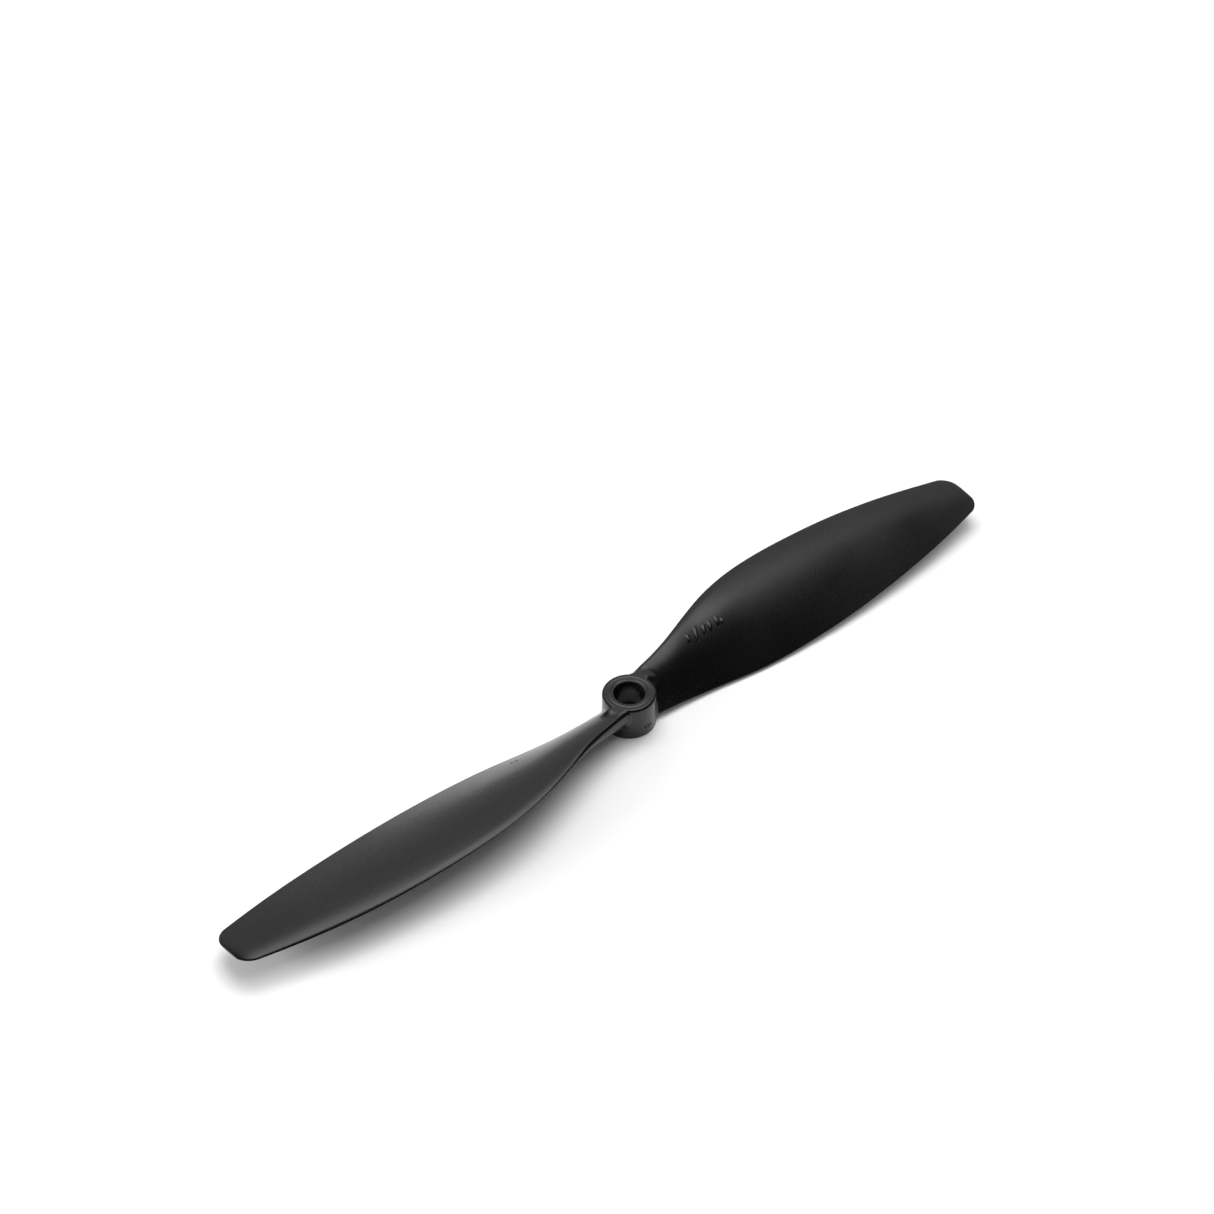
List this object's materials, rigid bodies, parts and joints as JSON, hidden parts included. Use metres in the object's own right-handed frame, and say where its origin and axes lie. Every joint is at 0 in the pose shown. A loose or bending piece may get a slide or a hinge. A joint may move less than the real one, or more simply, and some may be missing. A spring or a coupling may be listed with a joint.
{
  "type": "propeller",
  "caption": "Slow-fly propeller for a small radio-controlled model: round hub with a shaft bore, wide twisted blades and a shaft adapter ring.",
  "frame": {"origin": "shaft axis at the rear face of the hub", "axes": "+X from the shaft axis to the tip of blade_a, +Z along the shaft to the front of the propeller"},
  "size_m": [0.2032, 0.0264, 0.0093],
  "materials": {
    "black_nylon": "moulded glass-filled nylon, satin black with a fine grain",
    "ring_nylon": "moulded plastic, smoother satin black"
  },
  "bodies": {
    "shaft_ring": {"shaft_adapter_ring": "ring_nylon"},
    "propeller": {"hub": "black_nylon", "blade_a": "black_nylon", "blade_b": "black_nylon"}
  },
  "joints": [
    {"name": "shaft_spin", "type": "hinge", "parent": "shaft_ring", "child": "propeller", "pos_m": [0, 0, 0], "axis": [0, 0, 1], "continuous": true}
  ]
}
